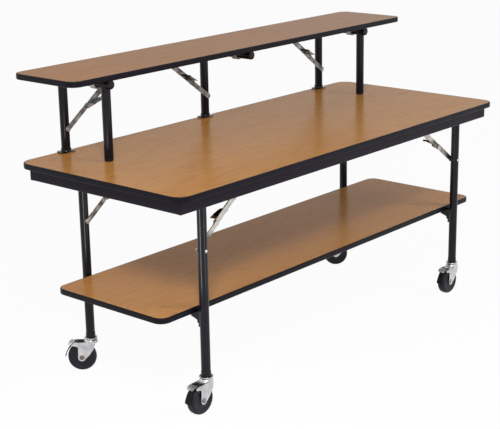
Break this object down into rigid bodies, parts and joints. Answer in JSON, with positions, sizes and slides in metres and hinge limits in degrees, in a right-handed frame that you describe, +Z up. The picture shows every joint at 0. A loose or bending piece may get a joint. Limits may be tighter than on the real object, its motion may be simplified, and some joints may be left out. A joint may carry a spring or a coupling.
{
  "type": "mobile buffet table",
  "caption": "Mobile buffet table: laminate top on folding tube legs with braked casters, a full-length under-shelf and a folding riser shelf along the rear.",
  "frame": {"origin": "on the floor under the middle of the table top", "axes": "+X along the table's length, to the right as seen from the front; +Y to the rear, where the riser stands; +Z up"},
  "size_m": [1.8288, 0.762, 1.0795],
  "materials": {
    "wood_laminate": "semi-gloss oak-grain laminate on board",
    "edge_vinyl": "black vinyl edge band",
    "black_steel": "black powder coat",
    "zinc_steel": "zinc-plated pressed steel",
    "bright_zinc": "bright zinc",
    "black_rubber": "black rubber wheel"
  },
  "bodies": {
    "table": {"top_board": "wood_laminate", "top_edge_band": "edge_vinyl", "apron_side_rails": "black_steel", "apron_end_rails": "black_steel", "leg_saddles": "black_steel", "top_screws": "zinc_steel", "leg_brace_anchors": "zinc_steel"},
    "left_legs": {"left_front_leg": "black_steel", "left_rear_leg": "black_steel", "left_cross_tube": "black_steel", "left_brace_bolts": "zinc_steel", "left_shelf_studs": "black_steel", "left_caster_stems": "black_steel"},
    "left_upper_arms": {"left_upper_arms": "zinc_steel"},
    "left_lower_arms": {"left_lower_arms": "zinc_steel"},
    "left_front_lever": {"left_front_lever": "zinc_steel"},
    "left_rear_lever": {"left_rear_lever": "zinc_steel"},
    "front_left_fork": {"front_left_fork": "bright_zinc"},
    "front_left_wheel": {"front_left_wheel": "black_rubber"},
    "front_left_brake_pedal": {"front_left_brake_pedal": "zinc_steel"},
    "rear_left_fork": {"rear_left_fork": "bright_zinc"},
    "rear_left_wheel": {"rear_left_wheel": "black_rubber"},
    "rear_left_brake_pedal": {"rear_left_brake_pedal": "zinc_steel"},
    "right_legs": {"right_front_leg": "black_steel", "right_rear_leg": "black_steel", "right_cross_tube": "black_steel", "right_brace_bolts": "zinc_steel", "right_shelf_studs": "black_steel", "right_caster_stems": "black_steel"},
    "right_upper_arms": {"right_upper_arms": "zinc_steel"},
    "right_lower_arms": {"right_lower_arms": "zinc_steel"},
    "right_front_lever": {"right_front_lever": "zinc_steel"},
    "right_rear_lever": {"right_rear_lever": "zinc_steel"},
    "front_right_fork": {"front_right_fork": "bright_zinc"},
    "front_right_wheel": {"front_right_wheel": "black_rubber"},
    "front_right_brake_pedal": {"front_right_brake_pedal": "zinc_steel"},
    "rear_right_fork": {"rear_right_fork": "bright_zinc"},
    "rear_right_wheel": {"rear_right_wheel": "black_rubber"},
    "rear_right_brake_pedal": {"rear_right_brake_pedal": "zinc_steel"},
    "shelf": {"shelf_board": "wood_laminate", "shelf_edge_band": "edge_vinyl", "shelf_brackets": "black_steel"},
    "riser": {"riser_board": "wood_laminate", "riser_edge_band": "edge_vinyl", "riser_saddles": "black_steel", "riser_screws": "zinc_steel", "riser_brace_anchors": "zinc_steel"},
    "riser_left_legs": {"riser_left_legs": "black_steel"},
    "riser_left_upper_arm": {"riser_left_upper_arm": "zinc_steel"},
    "riser_left_lower_arm": {"riser_left_lower_arm": "zinc_steel"},
    "riser_left_lever": {"riser_left_lever": "zinc_steel"},
    "riser_middle_legs": {"riser_middle_legs": "black_steel"},
    "riser_middle_upper_arm": {"riser_middle_upper_arm": "zinc_steel"},
    "riser_middle_lower_arm": {"riser_middle_lower_arm": "zinc_steel"},
    "riser_middle_lever": {"riser_middle_lever": "zinc_steel"},
    "riser_right_legs": {"riser_right_legs": "black_steel"},
    "riser_right_upper_arm": {"riser_right_upper_arm": "zinc_steel"},
    "riser_right_lower_arm": {"riser_right_lower_arm": "zinc_steel"},
    "riser_right_lever": {"riser_right_lever": "zinc_steel"}
  },
  "joints": [
    {"name": "left_legs_fold", "type": "hinge", "parent": "table", "child": "left_legs", "pos_m": [-0.745, -0.028, 0.7327], "axis": [0, -1, 0], "range_deg": [0, 82]},
    {"name": "left_upper_turn", "type": "hinge", "parent": "table", "child": "left_upper_arms", "pos_m": [-0.542, -0.028, 0.70417], "axis": [0, 1, 0], "range_deg": [0, 44.36]},
    {"name": "left_lower_turn", "type": "hinge", "parent": "left_legs", "child": "left_lower_arms", "pos_m": [-0.745, -0.028, 0.5547], "axis": [0, -1, 0], "range_deg": [0, 53.64]},
    {"name": "left_front_lever_press", "type": "hinge", "parent": "left_upper_arms", "child": "left_front_lever", "pos_m": [-0.65437, -0.278, 0.62143], "axis": [0, -1, 0], "range_deg": [0, 18]},
    {"name": "left_rear_lever_press", "type": "hinge", "parent": "left_upper_arms", "child": "left_rear_lever", "pos_m": [-0.65437, 0.222, 0.62143], "axis": [0, -1, 0], "range_deg": [0, 18]},
    {"name": "front_left_swivel", "type": "hinge", "parent": "left_legs", "child": "front_left_fork", "pos_m": [-0.745, -0.306, 0.11], "axis": [0, 0, 1], "continuous": true},
    {"name": "front_left_roll", "type": "hinge", "parent": "front_left_fork", "child": "front_left_wheel", "pos_m": [-0.778, -0.306, 0.0508], "axis": [0, 1, 0], "continuous": true},
    {"name": "front_left_brake", "type": "hinge", "parent": "front_left_fork", "child": "front_left_brake_pedal", "pos_m": [-0.807, -0.306, 0.1], "axis": [0, -1, 0], "range_deg": [0, 6]},
    {"name": "rear_left_swivel", "type": "hinge", "parent": "left_legs", "child": "rear_left_fork", "pos_m": [-0.745, 0.25, 0.11], "axis": [0, 0, 1], "continuous": true},
    {"name": "rear_left_roll", "type": "hinge", "parent": "rear_left_fork", "child": "rear_left_wheel", "pos_m": [-0.76665, 0.27491, 0.0508], "axis": [0.7547, 0.6561, 0], "continuous": true},
    {"name": "rear_left_brake", "type": "hinge", "parent": "rear_left_fork", "child": "rear_left_brake_pedal", "pos_m": [-0.78568, 0.29679, 0.1], "axis": [-0.7547, -0.6561, 0], "range_deg": [0, 6]},
    {"name": "right_legs_fold", "type": "hinge", "parent": "table", "child": "right_legs", "pos_m": [0.745, -0.028, 0.7327], "axis": [0, 1, 0], "range_deg": [0, 82]},
    {"name": "right_upper_turn", "type": "hinge", "parent": "table", "child": "right_upper_arms", "pos_m": [0.542, -0.028, 0.70417], "axis": [0, -1, 0], "range_deg": [0, 44.36]},
    {"name": "right_lower_turn", "type": "hinge", "parent": "right_legs", "child": "right_lower_arms", "pos_m": [0.745, -0.028, 0.5547], "axis": [0, 1, 0], "range_deg": [0, 53.64]},
    {"name": "right_front_lever_press", "type": "hinge", "parent": "right_upper_arms", "child": "right_front_lever", "pos_m": [0.65437, -0.278, 0.62143], "axis": [0, 1, 0], "range_deg": [0, 18]},
    {"name": "right_rear_lever_press", "type": "hinge", "parent": "right_upper_arms", "child": "right_rear_lever", "pos_m": [0.65437, 0.222, 0.62143], "axis": [0, 1, 0], "range_deg": [0, 18]},
    {"name": "front_right_swivel", "type": "hinge", "parent": "right_legs", "child": "front_right_fork", "pos_m": [0.745, -0.306, 0.11], "axis": [0, 0, 1], "continuous": true},
    {"name": "front_right_roll", "type": "hinge", "parent": "front_right_fork", "child": "front_right_wheel", "pos_m": [0.712, -0.306, 0.0508], "axis": [0, 1, 0], "continuous": true},
    {"name": "front_right_brake", "type": "hinge", "parent": "front_right_fork", "child": "front_right_brake_pedal", "pos_m": [0.683, -0.306, 0.1], "axis": [0, -1, 0], "range_deg": [0, 6]},
    {"name": "rear_right_swivel", "type": "hinge", "parent": "right_legs", "child": "rear_right_fork", "pos_m": [0.745, 0.25, 0.11], "axis": [0, 0, 1], "continuous": true},
    {"name": "rear_right_roll", "type": "hinge", "parent": "rear_right_fork", "child": "rear_right_wheel", "pos_m": [0.72335, 0.27491, 0.0508], "axis": [0.7547, 0.6561, 0], "continuous": true},
    {"name": "rear_right_brake", "type": "hinge", "parent": "rear_right_fork", "child": "rear_right_brake_pedal", "pos_m": [0.70432, 0.29679, 0.1], "axis": [-0.7547, -0.6561, 0], "range_deg": [0, 6]},
    {"name": "shelf_lift", "type": "slide", "parent": "table", "child": "shelf", "axis": [0, 0, 1], "range_m": [0, 0.1]},
    {"name": "riser_lift", "type": "slide", "parent": "table", "child": "riser", "axis": [0, 0, 1], "range_m": [0, 0.25]},
    {"name": "riser_left_fold", "type": "hinge", "parent": "riser", "child": "riser_left_legs", "pos_m": [-0.714, 0.24, 1.0375], "axis": [0, -1, 0], "range_deg": [0, 82]},
    {"name": "riser_left_upper_turn", "type": "hinge", "parent": "riser", "child": "riser_left_upper_arm", "pos_m": [-0.51099, 0.3375, 1.00897], "axis": [0, 1, 0], "range_deg": [0, 44.36]},
    {"name": "riser_left_lower_turn", "type": "hinge", "parent": "riser_left_legs", "child": "riser_left_lower_arm", "pos_m": [-0.714, 0.3375, 0.8595], "axis": [0, -1, 0], "range_deg": [0, 53.64]},
    {"name": "riser_left_lever_press", "type": "hinge", "parent": "riser_left_upper_arm", "child": "riser_left_lever", "pos_m": [-0.62337, 0.3305, 0.92623], "axis": [0, -1, 0], "range_deg": [0, 18]},
    {"name": "riser_middle_fold", "type": "hinge", "parent": "riser", "child": "riser_middle_legs", "pos_m": [0, 0.24, 1.0375], "axis": [0, 1, 0], "range_deg": [0, 82]},
    {"name": "riser_middle_upper_turn", "type": "hinge", "parent": "riser", "child": "riser_middle_upper_arm", "pos_m": [-0.203, 0.3375, 1.00897], "axis": [0, -1, 0], "range_deg": [0, 44.36]},
    {"name": "riser_middle_lower_turn", "type": "hinge", "parent": "riser_middle_legs", "child": "riser_middle_lower_arm", "pos_m": [0, 0.3375, 0.8595], "axis": [0, 1, 0], "range_deg": [0, 53.64]},
    {"name": "riser_middle_lever_press", "type": "hinge", "parent": "riser_middle_upper_arm", "child": "riser_middle_lever", "pos_m": [-0.09063, 0.3305, 0.92623], "axis": [0, 1, 0], "range_deg": [0, 18]},
    {"name": "riser_right_fold", "type": "hinge", "parent": "riser", "child": "riser_right_legs", "pos_m": [0.714, 0.24, 1.0375], "axis": [0, 1, 0], "range_deg": [0, 82]},
    {"name": "riser_right_upper_turn", "type": "hinge", "parent": "riser", "child": "riser_right_upper_arm", "pos_m": [0.51099, 0.3375, 1.00897], "axis": [0, -1, 0], "range_deg": [0, 44.36]},
    {"name": "riser_right_lower_turn", "type": "hinge", "parent": "riser_right_legs", "child": "riser_right_lower_arm", "pos_m": [0.714, 0.3375, 0.8595], "axis": [0, 1, 0], "range_deg": [0, 53.64]},
    {"name": "riser_right_lever_press", "type": "hinge", "parent": "riser_right_upper_arm", "child": "riser_right_lever", "pos_m": [0.62337, 0.3305, 0.92623], "axis": [0, 1, 0], "range_deg": [0, 18]}
  ],
  "couplings": [
    {"joint": "left_upper_turn", "follows": "left_legs_fold", "ratio": 0.54102},
    {"joint": "left_lower_turn", "follows": "left_legs_fold", "ratio": 0.6541},
    {"joint": "right_upper_turn", "follows": "right_legs_fold", "ratio": 0.54102},
    {"joint": "right_lower_turn", "follows": "right_legs_fold", "ratio": 0.6541},
    {"joint": "riser_left_upper_turn", "follows": "riser_left_fold", "ratio": 0.54102},
    {"joint": "riser_left_lower_turn", "follows": "riser_left_fold", "ratio": 0.6541},
    {"joint": "riser_middle_upper_turn", "follows": "riser_middle_fold", "ratio": 0.54102},
    {"joint": "riser_middle_lower_turn", "follows": "riser_middle_fold", "ratio": 0.6541},
    {"joint": "riser_right_upper_turn", "follows": "riser_right_fold", "ratio": 0.54102},
    {"joint": "riser_right_lower_turn", "follows": "riser_right_fold", "ratio": 0.6541}
  ]
}
